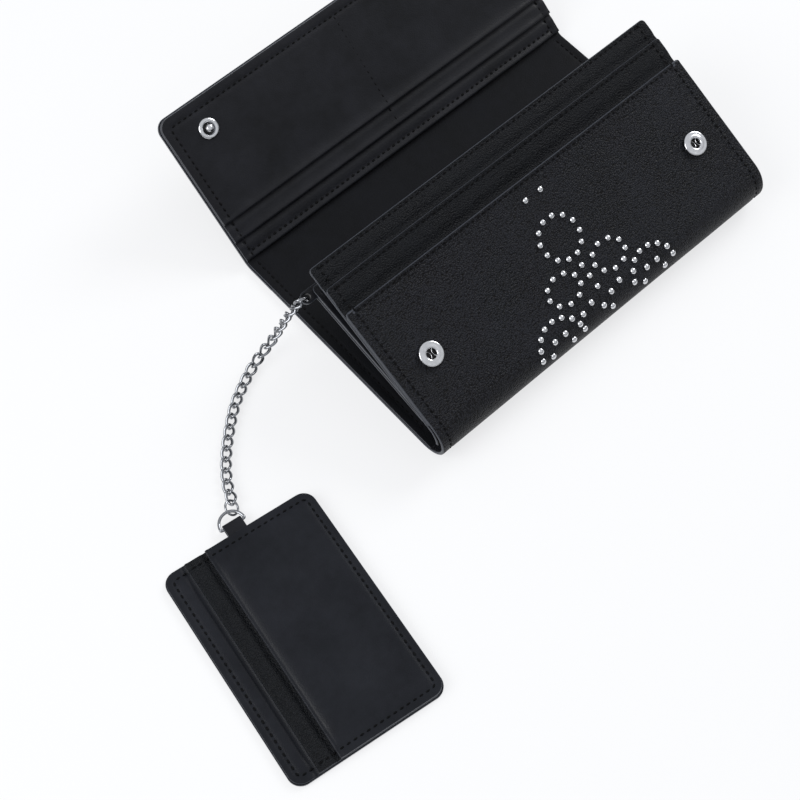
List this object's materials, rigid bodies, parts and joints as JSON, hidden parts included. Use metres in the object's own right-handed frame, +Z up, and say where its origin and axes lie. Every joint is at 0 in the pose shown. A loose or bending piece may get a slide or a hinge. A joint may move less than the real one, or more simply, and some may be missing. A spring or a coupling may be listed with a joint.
{
  "type": "chain wallet",
  "caption": "Long flap wallet, opened on its back, with a studded front block, card slots, snaps, a coin pocket and a card holder on a curb chain.",
  "frame": {"origin": "on the table, at the middle of the outside face of the wallet's back panel, along its length", "axes": "+X along the wallet's length, +Y from the bottom fold towards the flap, +Z up from the table"},
  "size_m": [0.3206, 0.255, 0.0536],
  "materials": {
    "pebbled": "black, pebbled, satin",
    "smooth": "black, smooth, slight sheen",
    "grained": "black, fine grain, satin",
    "lining": "black, matte",
    "nickel": "polished nickel plate",
    "tape": "woven tape"
  },
  "bodies": {
    "coin_pocket": {"coin_pocket_front": "smooth", "coin_pocket_rear": "smooth", "zip_tape_front": "tape", "zip_tape_rear": "tape", "chain_tab": "smooth"},
    "front_block": {"front_cover": "pebbled", "mid_pocket": "grained", "rear_pocket": "grained", "snap_socket_left": "nickel", "socket_rivet_left": "nickel", "snap_socket_right": "nickel", "socket_rivet_right": "nickel"},
    "back": {"back_cover": "pebbled", "back_lining": "lining"},
    "spine": {"spine_cover": "pebbled", "spine_lining": "lining"},
    "flap": {"flap_cover": "pebbled", "flap_lining": "lining", "flap_slip_pocket": "smooth", "flap_strip": "smooth", "flap_panel": "smooth", "snap_stud_left": "nickel", "snap_cap_left": "nickel", "snap_stud_right": "nickel", "snap_cap_right": "nickel"},
    "slider": {"zip_slider": "nickel"},
    "pull": {"zip_pull": "nickel"},
    "ring_top": {"jump_ring": "nickel"},
    "chain_upper": {"chain_link_01": "nickel", "chain_link_02": "nickel", "chain_link_03": "nickel", "chain_link_04": "nickel", "chain_link_05": "nickel"},
    "chain_curve": {"chain_link_06": "nickel", "chain_link_07": "nickel", "chain_link_08": "nickel", "chain_link_09": "nickel", "chain_link_10": "nickel"},
    "chain_table": {"chain_link_11": "nickel", "chain_link_12": "nickel", "chain_link_13": "nickel", "chain_link_14": "nickel", "chain_link_15": "nickel"},
    "chain_end": {"chain_link_16": "nickel", "chain_link_17": "nickel", "chain_link_18": "nickel", "chain_link_19": "nickel", "chain_link_20": "nickel", "chain_link_21": "nickel"},
    "connector": {"connector_ring": "nickel"},
    "d_ring": {"d_ring": "nickel"},
    "card_holder": {"card_back": "smooth", "card_base_panel": "smooth", "card_strip": "grained", "card_front_panel": "smooth", "card_tab": "smooth"}
  },
  "joints": [
    {"name": "pocket_fold", "type": "hinge", "parent": "coin_pocket", "child": "front_block", "pos_m": [0, -0.03394, 0.01809], "axis": [1, 0, 0], "range_deg": [-11, 0]},
    {"name": "block_fold", "type": "hinge", "parent": "front_block", "child": "back", "pos_m": [0, -0.0354, 0.0126], "axis": [1, 0, 0], "range_deg": [0, 24.4]},
    {"name": "spine_fold", "type": "hinge", "parent": "back", "child": "spine", "pos_m": [0, 0.0466, 0.0008], "axis": [1, 0, 0], "range_deg": [0, 90.2]},
    {"name": "flap_fold", "type": "hinge", "parent": "spine", "child": "flap", "pos_m": [0, 0.0784, 0.0008], "axis": [1, 0, 0], "range_deg": [-36, 52]},
    {"name": "zip_slide", "type": "slide", "parent": "coin_pocket", "child": "slider", "axis": [-1, 0, 0], "range_m": [0, 0.144]},
    {"name": "pull_tilt", "type": "hinge", "parent": "slider", "child": "pull", "pos_m": [0.0725, 0.03845, 0.03547], "axis": [0, 0.2334, -0.9724], "range_deg": [-90, 0]},
    {"name": "ring_turn", "type": "hinge", "parent": "coin_pocket", "child": "ring_top", "pos_m": [-0.0971, 0.03345, 0.03427], "axis": [0, 0, 1], "range_deg": [-3, 3]},
    {"name": "chain_bend_upper", "type": "hinge", "parent": "ring_top", "child": "chain_upper", "pos_m": [-0.09949, 0.03492, 0.03145], "axis": [0, 0, -1], "range_deg": [-6, 6]},
    {"name": "chain_bend_curve", "type": "hinge", "parent": "chain_upper", "child": "chain_curve", "pos_m": [-0.11258, 0.03895, 0.01091], "axis": [0, 0, 1], "range_deg": [-8, 8]},
    {"name": "chain_bend_table", "type": "hinge", "parent": "chain_curve", "child": "chain_table", "pos_m": [-0.13363, 0.03424, 0.00174], "axis": [0, 0, 1], "range_deg": [-10, 10]},
    {"name": "chain_bend_end", "type": "hinge", "parent": "chain_table", "child": "chain_end", "pos_m": [-0.15348, 0.01964, 0.00175], "axis": [0, 0, -1], "range_deg": [-10, 10]},
    {"name": "connector_turn", "type": "hinge", "parent": "chain_end", "child": "connector", "pos_m": [-0.17062, -0.00428, 0.00238], "axis": [0, 0, 1], "range_deg": [-8, 8]},
    {"name": "d_ring_turn", "type": "hinge", "parent": "connector", "child": "d_ring", "pos_m": [-0.17329, -0.00696, 0.0024], "axis": [0, 0, -1], "range_deg": [-8, 8]},
    {"name": "card_lift", "type": "hinge", "parent": "d_ring", "child": "card_holder", "pos_m": [-0.17658, -0.01186, 0.0024], "axis": [-0.9907, 0.1357, 0], "range_deg": [0, 70]}
  ],
  "couplings": [
    {"joint": "pocket_fold", "follows": "block_fold", "ratio": -0.44672},
    {"joint": "spine_fold", "follows": "block_fold", "ratio": 3.6885}
  ]
}
